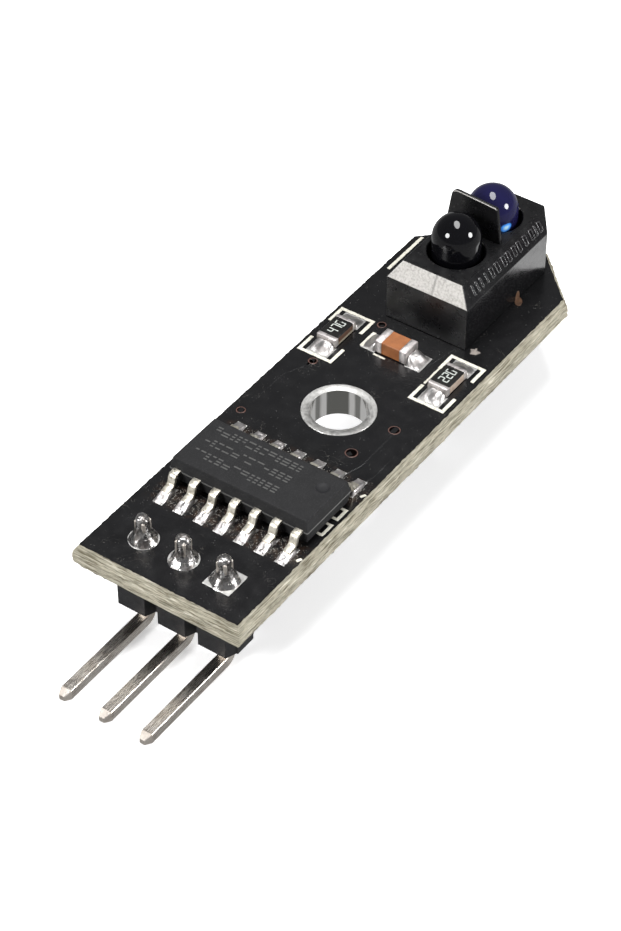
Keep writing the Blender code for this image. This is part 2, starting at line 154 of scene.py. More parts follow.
class Shader:
    """One material: a Principled BSDF and short calls for the nodes that feed it."""

    def __init__(self, name, colour, roughness, metallic=0.0, **sockets):
        self.material = bpy.data.materials.new(name)
        self.material.use_nodes = True
        self.tree = self.material.node_tree
        self.bsdf = self.tree.nodes["Principled BSDF"]
        self.set("Base Color", (*colour, 1.0))
        self.set("Roughness", roughness)
        self.set("Metallic", metallic)
        for socket, value in sockets.items():
            self.set(socket.replace("_", " "), value)
        self.place = None

    def set(self, socket, value):
        self.feed(self.bsdf.inputs[socket], value)

    def feed(self, socket, value):
        if isinstance(value, Signal):
            self.tree.links.new(value.socket, socket)
        else:
            socket.default_value = value

    def node(self, kind, output, inputs=(), **settings):
        """Add a node, feed its inputs and return one of its outputs."""
        node = self.tree.nodes.new("ShaderNode" + kind)
        for key, value in settings.items():
            setattr(node, key, value)
        for key, value in dict(inputs).items():
            self.feed(node.inputs[key], value)
        return Signal(self, node.outputs[output])

    def position(self, stretch=None):
        """Board millimetres, stretched for noise that runs along an axis."""
        if self.place is None:
            self.place = self.node("Mapping", 0, {"Vector": self.node("TexCoord", "Object"),
                                                  "Location": -ORIGIN / MM, "Scale": (1 / MM,) * 3})
        if stretch is None:
            return self.place
        return self.node("Mapping", 0, {"Vector": self.place, "Scale": stretch})

    def part(self, axis, vector=None):
        """One component of the position, or of another vector."""
        return self.node("SeparateXYZ", axis, {"Vector": vector or self.position()})

    def normal(self, axis):
        return self.part(axis, self.node("NewGeometry", "Normal"))

    def distance(self, centre, reach):
        """Distance from a point, counted in reaches along each axis."""
        offset = self.node("VectorMath", 0, {0: self.position(), 1: centre}, operation="SUBTRACT")
        share = self.node("VectorMath", 0, {0: offset, 1: reach}, operation="DIVIDE")
        return self.node("VectorMath", "Value", {0: share}, operation="LENGTH")

    def noise(self, scale, detail=3.0, stretch=None, rough=0.55):
        return self.node("TexNoise", "Fac", {"Vector": self.position(stretch), "Scale": scale,
                                             "Detail": detail, "Roughness": rough})

    def cells(self, scale):
        """Distance to the nearest of scattered points."""
        return self.node("TexVoronoi", "Distance", {"Vector": self.position(), "Scale": scale})

    def ramp(self, value, *stops):
        """Colours or numbers by place along a value."""
        result = self.node("ValToRGB", "Color", {"Fac": value})
        elements = result.socket.node.color_ramp.elements
        while len(elements) < len(stops):
            elements.new(0.5)
        for element, (place, level) in zip(elements, stops):
            element.position = place
            element.color = (*(level if isinstance(level, tuple) else (level,) * 3), 1.0)
        return result

    def patches(self, scale, detail, *stops, rough=0.55):
        """Soft patches: a ramp over noise."""
        return self.ramp(self.noise(scale, detail, rough=rough), *stops)

    def mix(self, factor, a, b):
        a, b = [(*value, 1.0) if isinstance(value, tuple) else value for value in (a, b)]
        return self.node("Mix", 2, {0: factor, 6: a, 7: b}, data_type="RGBA")

    def math(self, operation, a, b=0.0):
        return self.node("Math", 0, {0: a, 1: b}, operation=operation)

    def bump(self, height, depth):
        """Relief of the given depth in millimetres."""
        self.set("Normal", self.node("Bump", "Normal", {"Height": height, "Distance": depth * MM}))


def mask_shader():
    """Glossy black solder mask with dust, and flux stains between the soldered leads."""
    mat = Shader("solder mask", (0.006, 0.006, 0.0065), 0.22, Specular_IOR_Level=0.5)
    chip = cad_centre("soic_body")
    off_row = abs(abs(mat.part("Y") - chip.y) - SOIC_PAD_ROW)
    beside = mat.ramp(off_row * (1 / 1.1), (0.55, 1.0), (1.0, 0.0))
    within = mat.ramp(abs(mat.part("X") - chip.x) * 0.2, (0.82, 1.0), (0.98, 0.0))
    zone = beside * within
    stain = zone * mat.patches(2.6, 5.0, (0.42, 0.0), (0.66, 1.0))
    base = mat.mix(mat.noise(0.7), (0.0048, 0.0048, 0.0052), (0.0080, 0.0080, 0.0086))
    brown = mat.mix(mat.noise(9.0), (0.008, 0.005, 0.004), (0.050, 0.030, 0.020))
    colour = mat.mix(stain, base, brown)
    size = mat.patches(1.4, 2.0, (0.40, 0.0), (0.75, 0.17))
    speck = mat.cells(6.0) < size
    colour = mat.mix(speck, colour, (0.075, 0.074, 0.070))
    scratch = abs(mat.noise(1.5, 2.0) - 0.5) < 0.004
    scratch = scratch * mat.patches(0.45, 2.0, (0.56, 0.0), (0.66, 0.7))
    colour = mat.mix(scratch, colour, (0.10, 0.095, 0.085))
    blot = mat.distance(*RESIDUE) + mat.noise(3.6, 5.0) * 1.3
    colour = mat.mix(mat.ramp(blot, (0.86, 0.8), (1.08, 0.0)), colour, (0.36, 0.32, 0.29))
    crumb = mat.cells(11.0) < zone * 0.24
    mat.set("Base Color", mat.mix(crumb, colour, (0.34, 0.33, 0.30)))
    smear = mat.patches(1.1, 4.0, (0.35, 0.16), (0.75, 0.30))
    mat.set("Roughness", smear + speck * 0.4)
    mat.bump(mat.noise(5.0), 0.010)
    return mat.material


def laminate_shader():
    """The cut edge of glass-fibre laminate: dull beige resin with grey-green and brown strands."""
    mat = Shader("glass fibre laminate", (0.34, 0.31, 0.24), 0.70, Specular_IOR_Level=0.3)
    strand = mat.noise(1.0, 4.0, (0.6, 0.6, 14.0), 0.68)
    fine = mat.noise(1.0, 3.0, (2.0, 2.0, 40.0), 0.6)
    patch = mat.noise(0.9, 3.0, (1.3, 1.3, 3.0))
    beige = mat.mix(patch, (0.37, 0.335, 0.255), (0.24, 0.235, 0.185))
    colour = mat.mix(mat.ramp(strand, (0.38, 1.0), (0.50, 0.0)), beige, (0.085, 0.070, 0.042))
    colour = mat.mix(mat.ramp(strand, (0.55, 0.0), (0.66, 1.0)), colour, (0.50, 0.47, 0.39))
    colour = mat.mix(mat.ramp(fine, (0.36, 0.85), (0.48, 0.0)), colour, (0.13, 0.125, 0.09))
    mat.set("Base Color", colour)
    mat.bump(strand + fine * 0.6, 0.035)
    return mat.material


def print_shader(name, colour):
    """Printed ink, a little uneven and worn thin in spots."""
    mat = Shader(name, colour, 0.55)
    light = tuple(min(1.0, 1.12 * c) for c in colour)
    dull = tuple(0.62 * c for c in colour)
    wear_and_painted_highlight = mat.mix(mat.patches(6.0, 4.0, (0.30, 1.0), (0.46, 0.0)), light, dull)
    mat.set("Base Color", wear_and_painted_highlight)
    mat.bump(mat.noise(14.0), 0.006)
    return mat.material


def metal_shader(name, colour, dull, roughness, relief=0.006, metallic=1.0):
    """Metal with cloudy tarnish, changing gloss and a fine uneven surface."""
    mat = Shader(name, colour, roughness, metallic)
    cloud = mat.patches(2.8, 4.0, (0.45, 0.0), (0.65, 1.0))
    mat.set("Base Color", mat.mix(cloud, colour, dull))
    gloss = mat.noise(8.0, 4.0)
    mat.set("Roughness", mat.ramp(gloss, (0.3, 0.7 * roughness), (0.7, 1.5 * roughness)))
    mat.bump(mat.noise(8.0), relief)
    return mat.material


def solder_shader(name, bright, dull, gloss, relief_depth):
    """Bright solder, frosted in patches, with a few pits and traces of dark flux."""
    mat = Shader(name, bright, gloss[0], 1.0)
    pits = mat.ramp(mat.cells(4.5), (0.05, 1.0), (0.16, 0.0))
    frost = mat.patches(2.1, 4.0, (0.40, 0.0), (0.62, 1.0), rough=0.6)
    colour = mat.mix(frost, bright, dull)
    mat.set("Base Color", mat.mix(pits * 0.7, colour, (0.12, 0.1, 0.08)))
    mat.set("Roughness", mat.ramp(frost, (0.0, gloss[0]), (1.0, gloss[1])))
    relief = mat.noise(2.6) + pits * -0.25
    mat.bump(relief, relief_depth)
    return mat.material


def barrel_shader():
    """Plating inside the hole, with painted reflections streaked from face to face."""
    mat = Shader("hole barrel", (0.5, 0.49, 0.47), 0.12, 1.0)
    middle = cad_centre("mounting_hole_plating")
    across = mat.part("X") - middle.x
    along = mat.part("Y") - middle.y
    side = across * 0.8 + along * 0.6
    wavy = mat.noise(1.9, 4.0, (1.0, 1.0, 0.06)) * 0.5
    spread = abs(side) + wavy
    # painted reflection: bright bands on either side of a dark middle stand in for lamps and shaded floor
    # mirrored in the barrel
    painted_reflection_streaks = mat.ramp(spread * 0.5, (0.40, 0.0), (0.46, 1.0), (0.54, 1.0),
                      (0.60, 0.15), (0.70, 0.15), (0.76, 1.0))
    mat.set("Base Color", mat.mix(painted_reflection_streaks, (0.24, 0.24, 0.225), (1.0, 0.99, 0.97)))
    return mat.material


def pin_shader():
    """Tin-plated pins: drawn lines along the run, dull grey-brown patches, and worn tips and bends."""
    mat = Shader("pin metal", (0.50, 0.47, 0.43), 0.30, 1.0)
    lines = mat.noise(1.0, 3.0, (26.0, 1.6, 26.0), 0.6)
    cloud = mat.patches(1.7, 4.0, (0.38, 0.0), (0.66, 1.0))
    colour = mat.mix(cloud, (0.68, 0.64, 0.59), (0.52, 0.47, 0.42))
    mat.set("Base Color", mat.mix(mat.ramp(lines, (0.35, 0.4), (0.50, 0.0)), colour, (0.24, 0.21, 0.18)))
    low, high = cad("header_pin_1")
    along = mat.part("Y")
    tip = along < low.y + 0.43
    bend = along > high.y - 0.75
    wear_and_painted_highlight = tip + bend
    gloss = mat.ramp(lines, (0.3, 0.22), (0.7, 0.34))
    mat.set("Roughness", gloss + wear_and_painted_highlight * 0.28)
    mat.bump(lines, 0.005)
    return mat.material


def resin_shader():
    """Matte moulding compound of the chip, finely grained."""
    mat = Shader("chip resin", (0.018, 0.018, 0.019), 0.65, Specular_IOR_Level=0.14)
    mottle = mat.noise(1.3, 4.0)
    top = mat.mix(mottle, (0.012, 0.012, 0.0125), (0.021, 0.021, 0.022))
    fleck = mat.patches(24.0, 2.0, (0.58, 0.0), (0.72, 0.5))
    from_parting = abs(mat.part("Z") - SOIC_PARTING)
    flash = from_parting < 0.045
    top = mat.mix(flash * 0.8, top, (0.11, 0.11, 0.105))
    mat.set("Base Color", mat.mix(fleck, top, (0.085, 0.085, 0.085)))
    mat.bump(mat.noise(30.0, 2.0), 0.008)
    return mat.material


def plastic_shader(name, colour, roughness, grain=12.0, relief=0.006, shine=0.5):
    """Moulded plastic with a slightly uneven gloss."""
    mat = Shader(name, colour, roughness, Specular_IOR_Level=shine)
    mat.set("Base Color", mat.mix(mat.noise(1.1), colour, tuple(1.5 * c for c in colour)))
    mat.set("Roughness", mat.patches(2.0, 4.0, (0.35, 0.8 * roughness), (0.70, 1.3 * roughness)))
    mat.bump(mat.noise(grain), relief)
    return mat.material


def housing_shader():
    """Hazy black moulding; the shoulder at the header's end carries a painted highlight, pale and finely
    mottled.
    """
    mat = Shader("housing plastic", (0.006, 0.006, 0.0065), 0.30, Specular_IOR_Level=0.4)
    # painted highlight: faces tilted up towards the header's end get a pale mottled colour, with a darker
    # line across it, that stands in for a lamp's reflection
    tilted = mat.ramp(mat.normal("Z"), (0.25, 0.0), (0.32, 1.0), (0.70, 1.0), (0.80, 0.0))
    pale = tilted * (mat.normal("Y") < -0.75)
    mottle = mat.patches(8.0, 4.0, (0.32, 0.0), (0.58, 1.0), rough=0.62)
    wear_and_painted_highlight = mat.mix(mottle, (0.30, 0.285, 0.265), (0.49, 0.475, 0.45))
    seam = abs(mat.part("X") - 0.55)
    wear_and_painted_highlight = mat.mix(mat.ramp(seam, (0.03, 0.6), (0.10, 0.0)), wear_and_painted_highlight, (0.16, 0.155, 0.145))
    grit = mat.ramp(mat.cells(3.2), (0.08, 0.6), (0.22, 0.0))
    black = mat.mix(grit, (0.0055, 0.0055, 0.006), (0.035, 0.034, 0.033))
    mat.set("Base Color", mat.mix(pale, black, wear_and_painted_highlight))
    haze = mat.patches(1.6, 4.0, (0.35, 0.24), (0.70, 0.40))
    facing = mat.math("MAXIMUM", mat.normal("X"), 0.0)
    haze = haze - facing * 0.13
    mat.set("Roughness", haze + pale * 0.25)
    mat.bump(mat.noise(9.0, 4.0), 0.006)
    return mat.material


def lens_shader(name, deep, roughness, painted_glint=None):
    """Polished epoxy, tinted very deep; where asked, a bright spot is painted into its colour as a painted
    highlight.
    """
    mat = Shader(name, deep, roughness, Specular_IOR_Level=0.38)
    tone = mat.mix(mat.noise(0.5, 2.0), deep, tuple(1.8 * c for c in deep))
    # painted highlight: a pale blue core fading to the given colour, mixed into the base colour as if
    # light came through the lens
    if painted_glint:
        centre, reach, colour = painted_glint
        distance = mat.distance(centre, reach)
        distance = distance + mat.noise(2.2, 2.0) * 0.5
        core = mat.ramp(distance, (0.35, (0.55, 0.85, 1.0)), (0.70, colour))
        tone = mat.mix(mat.ramp(distance, (0.75, 1.0), (1.2, 0.0)), tone, core)
    mat.set("Base Color", tone)
    mat.bump(mat.noise(0.8, 2.0), 0.004)
    return mat.material


def ceramic_shader(name, colour, deep, roughness, stain=None):
    """Fired ceramic with a soft mottle and a fine grain, stained above its foot where asked."""
    mat = Shader(name, colour, roughness)
    mottle = mat.patches(2.4, 5.0, (0.32, 0.0), (0.70, 1.0))
    tone = mat.mix(mottle, colour, deep)
    if stain:
        tone = mat.mix(mat.ramp(mat.part("Z"), (0.16, 0.0), (0.24, 1.0)), tone, stain)
    mat.set("Base Color", tone)
    mat.bump(mat.noise(22.0), 0.006)
    return mat.material


def floor_shader():
    """Pale card; polished surfaces mirror it dimly, apart from the glare beyond the sensor's corner."""
    mat = Shader("pale floor", (0.93, 0.93, 0.93), 0.35, Emission_Color=(1.0, 1.0, 1.0, 1.0))
    far = mat.distance((0.0, 0.0, 0.0), FLOOR_FADE)
    mat.set("Emission Strength", mat.ramp(far, (0.12, 0.45), (0.60, 0.82)))
    mat.set("Roughness", mat.patches(0.02, 2.0, (0.0, 0.30), (1.0, 0.36)))
    glare = mat.ramp(mat.distance(*MIRRORED_GLARE), (0.35, 1.0), (0.60, 0.19))
    dim = mat.node("Emission", 0, {"Color": glare, "Strength": 2.1})
    lit = Signal(mat, mat.bsdf.outputs[0])
    shown = mat.node("MixShader", 0, {0: mat.node("LightPath", "Is Glossy Ray"), 1: lit, 2: dim})
    mat.feed(mat.tree.nodes["Material Output"].inputs["Surface"], shown)
    return mat.material


MATERIALS = {
    "mask": mask_shader(),
    "laminate": laminate_shader(),
    "silkscreen": print_shader("silkscreen ink", (0.60, 0.58, 0.50)),
    "chip_print": print_shader("chip marking", (0.052, 0.052, 0.050)),
    "code_print": print_shader("resistor code", (0.46, 0.49, 0.46)),
    "copper": metal_shader("via rim", (0.090, 0.042, 0.032), (0.035, 0.016, 0.012), 0.40, metallic=0.0),
    # painted shade: the via pits are near black and without gloss, standing in for the shade inside the
    # holes
    "shade": plastic_shader("via shade", (0.0012, 0.0008, 0.0008), 0.8, shine=0.0),
    "pit": plastic_shader("dimple", (0.011, 0.011, 0.012), 0.55, shine=0.25),
    "amber": ceramic_shader("amber window", (0.15, 0.080, 0.045), (0.05, 0.026, 0.014), 0.45),
    "bars": plastic_shader("shoulder frames", (0.022, 0.022, 0.023), 0.16, 6.0, 0.012, shine=1.0),
    "tin": metal_shader("tinned ring", (0.54, 0.535, 0.52), (0.42, 0.415, 0.40), 0.46, relief=0.003),
    "termination": metal_shader("tinned termination", (0.66, 0.62, 0.61), (0.46, 0.43, 0.42), 0.42),
    "lead": metal_shader("tinned lead", (0.66, 0.63, 0.55), (0.46, 0.43, 0.36), 0.40, relief=0.004),
    "solder": solder_shader("chip solder", (0.57, 0.555, 0.545), (0.36, 0.34, 0.33), (0.34, 0.52), 0.035),
    "foot": solder_shader("lead solder", (0.70, 0.68, 0.67), (0.54, 0.51, 0.50), (0.30, 0.48), 0.05),
    "joint": solder_shader("header solder", (0.62, 0.61, 0.60), (0.19, 0.175, 0.165), (0.16, 0.40), 0.09),
    "barrel": barrel_shader(),
    "pin": pin_shader(),
    "resin": resin_shader(),
    "header": plastic_shader("header plastic", (0.009, 0.009, 0.010), 0.45, 16.0, 0.008, shine=0.25),
    "housing": housing_shader(),
    "black_lens": lens_shader("black lens", (0.0015, 0.0015, 0.002), 0.03),
    "blue_lens": lens_shader("blue lens", (0.0065, 0.006, 0.030), 0.06, EMITTER_PAINTED_GLINT),
    "coat": plastic_shader("resistor coat", (0.006, 0.0058, 0.0055), 0.35, shine=0.3),
    "alumina": ceramic_shader("alumina", (0.42, 0.35, 0.29), (0.28, 0.20, 0.15), 0.60),
    "stained": ceramic_shader("stained alumina", (0.42, 0.38, 0.30), (0.30, 0.25, 0.18), 0.60,
                              (0.085, 0.040, 0.022)),
    "tan_ceramic": ceramic_shader("capacitor ceramic", (0.31, 0.110, 0.034), (0.22, 0.078, 0.026), 0.50),
}


# ---------------------------------------------------------------- mesh tools

def add_object(name, data):
    obj = bpy.data.objects.new(name, data)
    bpy.context.scene.collection.objects.link(obj)
    return obj


class Piece:
    """A mesh in the making, in board millimetres."""

    def __init__(self, name, material, slot, replaces=()):
        self.name, self.slot, self.replaces = name, slot, replaces
        self.materials = [MATERIALS[key] for key in material.split()]
        self.bm = bmesh.new()

    def loft(self, rings, place=None, caps=True, wrap=False):
        """Skin a row of rings of equal length; a single point closes like an apex."""
        place = place or Matrix()
        loops = [[self.bm.verts.new(place @ Vector(point)) for point in ring] for ring in rings]
        pairs = list(zip(loops, loops[1:]))
        if wrap:
            pairs.append((loops[-1], loops[0]))
        for low, high in pairs:
            count = max(len(low), len(high))
            for i in range(count):
                j = (i + 1) % count
                corners = [low[i % len(low)], low[j % len(low)], high[j % len(high)], high[i % len(high)]]
                self.bm.faces.new(list(dict.fromkeys(corners)))
        if caps and not wrap:
            for loop in (loops[0], loops[-1]):
                if len(loop) > 2:
                    self.bm.faces.new(loop)
        return loops

    def fill(self, outer, holes=()):
        """A flat face between loops of existing corners, with holes left open."""
        flat = [[vertex.co for vertex in loop] for loop in (outer, *holes)]
        corners = [vertex for loop in (outer, *holes) for vertex in loop]
        for triangle in tessellate_polygon(flat):
            self.bm.faces.new([corners[i] for i in triangle])

    def lathe(self, profile, centre=(0.0, 0.0, 0.0), sides=48, wrap=False, wobble=None):
        """Turn (radius, height) points about Z; wobble(angle, height) scales the radius."""
        rings = []
        for radius, height in profile:
            if radius == 0.0:
                rings.append([(0.0, 0.0, height)])
                continue
            ring = []
            for k in range(sides):
                angle = 2 * math.pi * k / sides
                reach = radius * (wobble(angle, height) if wobble else 1.0)
                ring.append((reach * math.cos(angle), reach * math.sin(angle), height))
            rings.append(ring)
        return self.loft(rings, Matrix.Translation(centre), wrap=wrap)

    def prism(self, outline, low, high, place=None):
        self.loft(stack(outline, low, high), place)

    def slab(self, outline, low, high, soften=0.01, place=None):
        """A thin prism whose top edge is rounded off."""
        self.loft([*stack(outline, low, high - soften), level(shrink(outline, soften), high)], place)

    def sweep(self, path, section, x, shares=None):
        """Carry a section along a path of (y, z) points at one x, scaled by each point's share."""
        rings = []
        for (y, z), before, after, share in zip(path, path[:1] + path, path[1:] + path[-1:],
                                                shares or [1.0] * len(path)):
            along = Vector((after[0] - before[0], after[1] - before[1])).normalized()
            rings.append([(x + u * share, y - v * share * along.y, z + v * share * along.x)
                          for u, v in section])
        self.loft(rings)

    def finish(self, smooth=40.0, bevel=None, tag=None):
        """Turn the mesh into an object of the frame; tag picks a face's material by its middle."""
        bmesh.ops.remove_doubles(self.bm, verts=self.bm.verts, dist=1e-5)
        bmesh.ops.recalc_face_normals(self.bm, faces=self.bm.faces)
        if tag:
            for face in self.bm.faces:
                face.material_index = tag(face.calc_center_median())
        self.bm.transform(TO_FRAME)
        mesh = bpy.data.meshes.new(self.name)
        self.bm.to_mesh(mesh)
        self.bm.free()
        mesh.shade_smooth()
        mesh.set_sharp_from_angle(angle=math.radians(smooth))
        for material in self.materials:
            mesh.materials.append(material)
        obj = add_object(self.name, mesh)
        if bevel:
            modifier = obj.modifiers.new("rounded edges", "BEVEL")
            modifier.width = bevel * MM
            modifier.segments = 3
            modifier.limit_method = "ANGLE"
            modifier.angle_limit = math.radians(smooth)
            modifier.harden_normals = True
        obj.modifiers.new("flat faces stay flat", "WEIGHTED_NORMAL").keep_sharp = True
        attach(obj, "root")
        if self.replaces:
            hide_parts(*self.replaces)


def rectangle(low_x, low_y, high_x, high_y):
    return [(low_x, low_y), (high_x, low_y), (high_x, high_y), (low_x, high_y)]


def rounded_rectangle(width, height, radius, steps=3):
    """Corners run counter-clockwise from the right lower one, centred on nought."""
    points = []
    for corner, (sx, sy) in enumerate(((1, -1), (1, 1), (-1, 1), (-1, -1))):
        for k in range(steps + 1):
            angle = math.radians(90 * (corner - 1) + 90 * k / steps)
            points.append((sx * (width / 2 - radius) + radius * math.cos(angle),
                           sy * (height / 2 - radius) + radius * math.sin(angle)))
    return points


def noise_round(angle, scale, height):
    """Smooth noise on the wall of a cylinder."""
    return noise.noise(Vector((scale * math.cos(angle), scale * math.sin(angle), height)))


def circle(x, y, radius, sides=24):
    angles = [2 * math.pi * k / sides for k in range(sides)]
    return [(x + radius * math.cos(a), y + radius * math.sin(a)) for a in angles]


def edge_normals(outline):
    """Outward normals of a counter-clockwise outline, mitred at its corners."""
    normals = []
    count = len(outline)
    for i, point in enumerate(outline):
        before = (Vector(point) - Vector(outline[i - 1])).normalized()
        after = (Vector(outline[(i + 1) % count]) - Vector(point)).normalized()
        a, b = Vector((before.y, -before.x)), Vector((after.y, -after.x))
        normals.append((a + b) / max(1 + a.dot(b), 0.3))
    return normals


def shrink(outline, inset):
    """Move an outline in by the same distance all round, whichever way it turns."""
    area = sum(a[0] * b[1] - b[0] * a[1] for a, b in zip(outline, outline[1:] + outline[:1]))
    inset = math.copysign(inset, area)
    return [(x - inset * n.x, y - inset * n.y) for (x, y), n in zip(outline, edge_normals(outline))]


def divide(outline, step):
    """Add points along the edges of a closed outline."""
    points = []
    for a, b in zip(outline, outline[1:] + outline[:1]):
        a, b = Vector(a), Vector(b)
        parts = max(1, round((b - a).length / step))
        points += [tuple(a.lerp(b, k / parts)) for k in range(parts)]
    return points


def roughen(outline, amount, size, seed=0.0):
    """Wander an outline in and out by up to amount, in waves of the given size."""
    moved = []
    for (x, y), normal in zip(outline, edge_normals(outline)):
        wave = noise.fractal(Vector((x / size, y / size, seed)), 0.6, 2.0, 3)
        moved.append((x + amount * wave * normal.x, y + amount * wave * normal.y))
    return moved


def ribbon(points, width):
    """The outline of a line of constant width with mitred corners and square ends."""
    points = [Vector(point) for point in points]
    left, right = [], []
    for i, point in enumerate(points):
        before = (point - points[i - 1]).normalized() if i else None
        after = (points[i + 1] - point).normalized() if i + 1 < len(points) else before
        before = before or after
        a, b = Vector((-before.y, before.x)), Vector((-after.y, after.x))
        offset = (a + b) * (width / 2 / (1 + a.dot(b)))
        left.append(tuple(point + offset))
        right.append(tuple(point - offset))
    return right + left[::-1]


def fillet(points, radius, steps=5):
    """Round the inner corners of an open path."""
    path = [Vector(points[0])]
    for a, corner, b in zip(points, points[1:], points[2:]):
        a, corner, b = Vector(a), Vector(corner), Vector(b)
        start = corner + (a - corner) * min(0.5, radius / (a - corner).length)
        end = corner + (b - corner) * min(0.5, radius / (b - corner).length)
        for k in range(steps + 1):
            t = k / steps
            path.append(start.lerp(corner, t).lerp(corner.lerp(end, t), t))
    path.append(Vector(points[-1]))
    return [tuple(point) for point in path]


def smooth_step(low, high, value):
    t = min(1.0, max(0.0, (value - low) / (high - low)))
    return t * t * (3 - 2 * t)


def mound(piece, place, half_x, half_y, height, seed, lumps=0.02, power=4.5, sides=36, rings=10):
    """A closed drop over a rounded-rectangular foot; height(x, y) is its surface above the board."""
    rim = []
    for k in range(sides):
        angle = 2 * math.pi * k / sides
        c, s = math.cos(angle), math.sin(angle)
        reach = (abs(c) ** power + abs(s) ** power) ** (-1 / power)
        reach *= 1 + 0.05 * noise.noise(Vector((2 * c, 2 * s, seed)))
        rim.append((half_x * reach * c, half_y * reach * s))
    loops = [[(x, y, -0.02) for x, y in rim]]
    for k in range(rings):
        share = 1 - (k / rings) ** 1.4
        ring = []
        for x, y in rim:
            px, py = x * share, y * share
            lump = lumps * noise.fractal(Vector((px * 3.2, py * 3.2, seed)), 0.7, 2.0, 3)
            rise = 1 - share ** 8 if k else 0.05
            ring.append((px, py, max(0.012, (height(px, py) + lump) * rise)))
        loops.append(ring)
    loops.append([(0.0, 0.0, max(0.012, height(0.0, 0.0)))])
    piece.loft(loops, place)


# ---------------------------------------------------------------- board

def board_corners(inset=0.0):
    half, far = BOARD_WIDTH / 2 - inset, BOARD_LENGTH - inset
    cut = BOARD_CORNER + inset * (math.sqrt(2) - 1)
    cut_x, cut_y = BOARD_WIDTH / 2 - cut, BOARD_LENGTH - cut
    return [(-half, inset), (half, inset), (half, cut_y), (cut_x, far), (-cut_x, far), (-half, cut_y)]


def score_profile():
    """Depth below the top face, and how far the edge stands out there."""
    rows = []
    for k in range(17):
        z = -MASK_THICK - (BOARD_THICK - 2 * MASK_THICK) * k / 16
        middle = 1 - abs(z + BOARD_THICK / 2) / (BOARD_THICK / 2)
        rows.append((z, SCORE_BULGE * smooth_step(0.0, 0.72, middle)))
    return rows


def make_board():
    """Laminate with scored and snapped edges, between two sheets of solder mask."""
    mount = cad_centre("mounting_hole_plating")
    corners = divide(board_corners(0.02), EDGE_STEP)
    normals = edge_normals(corners)
    core = Piece("board_laminate", "laminate", "solder_mask", ["pcb"])
    rings = []
    for z, out in score_profile():
        torn = 0.008 + 0.05 * out / SCORE_BULGE
        ring = []
        for (x, y), normal in zip(corners, normals):
            strand = noise.fractal(Vector((x * 1.1, y * 1.1, z * 9.0)), 0.6, 2.0, 4)
            tear = noise.fractal(Vector((x * 3.5 + 9.0, y * 3.5, z * 2.5)), 0.6, 2.0, 3)
            reach = out + torn * (strand + 0.5 * tear)
            ring.append((x + reach * normal.x, y + reach * normal.y, z))
        rings.append(ring)
    loops = core.loft(rings, caps=False)
    bore = circle(0.0, mount.y, PLATING_RADII[0] + 0.05, 64)
    bores = core.loft(stack(bore, rings[0][0][2], rings[-1][0][2]), caps=False)
    core.fill(loops[0], [bores[0]])
    core.fill(loops[-1], [bores[1]])
    core.finish(45.0)
    for name, low, seed in (("board_mask_top", -MASK_THICK, 3.0), ("board_mask_under", -BOARD_THICK, 8.0)):
        sheet = Piece(name, "mask", "solder_mask")
        rim = roughen(divide(board_corners(0.03), EDGE_STEP), 0.045, 0.35, seed)
        outer = sheet.loft(stack(rim, low, low + MASK_THICK), caps=False)
        opening = circle(0.0, mount.y, PLATING_RADII[1] - 0.06, 64)
        inner = sheet.loft(stack(opening, low, low + MASK_THICK), caps=False)
        for rim, opening in zip(outer, inner):
            sheet.fill(rim, [opening])
        sheet.finish(30.0)


def make_plating():
    """Tinned ring and barrel of the mounting hole."""
    inner, outer = PLATING_RADII
    centre = cad_centre("mounting_hole_plating")
    top, under = PLATING_HEIGHT, -BOARD_THICK - PLATING_HEIGHT
    round_off = 0.02
    profile = [(inner, under + round_off), (inner + round_off, under), (outer - round_off, under),
               (outer, under + round_off), (outer, under + 0.04), (inner + 0.05, under + 0.05),
               (inner + 0.05, top - 0.05), (outer, top - 0.04), (outer, top - round_off),
               (outer - round_off, top), (inner + 0.05, top), (inner, top - 0.04)]
    plating = Piece("mounting_hole_ring", "tin barrel", "tinned_copper", ["mounting_hole_plating"])
    plating.lathe(profile, (0.0, centre.y, 0.0), 96, wrap=True,
                  wobble=lambda angle, height: 1 + 0.004 * noise_round(angle, 3, height))
    plating.finish(tag=lambda middle: int(math.hypot(middle.x, middle.y - centre.y) < inner + 0.01))


# Centre and radius of each via
VIAS = ((-4.24, 12.85, 0.27), (2.44, 13.43, 0.36), (3.29, 16.17, 0.34), (-2.06, 22.93, 0.27),
        (-3.41, 18.29, 0.27))
VIA_PROFILE = ((0.0, -0.01), (0.005, 0.008), (0.025, 0.018), (0.065, 0.018), (0.085, 0.006))


def make_vias():
    """Small tented holes: a copper-tinted ring round a pit painted dark as the shade in the hole, on both
    faces.
    """
    for name, face, up in (("vias_top", 0.0, 1), ("vias_under", -BOARD_THICK, -1)):
        vias = Piece(name, "copper shade", "tinned_copper")
        for x, y, radius in VIAS:
            points = [(radius - inset, face + up * z) for inset, z in VIA_PROFILE]
            vias.lathe([*points, (0.0, face + up * 0.003)], (x, y, 0.0), 32)
        vias.finish(tag=lambda middle: int(any(math.hypot(middle.x - x, middle.y - y) < radius - 0.075
                                               for x, y, radius in VIAS)))


def lead_pads():
    """X, tip and outward direction along Y of the chip's fourteen leads."""
    middle = cad_centre("soic_body")
    for k in range(1, 15):
        low, high = cad(f"soic_lead_{k:02d}")
        out = 1 if low.y > middle.y else -1
        yield (low.x + high.x) / 2, high.y if out > 0 else low.y, out


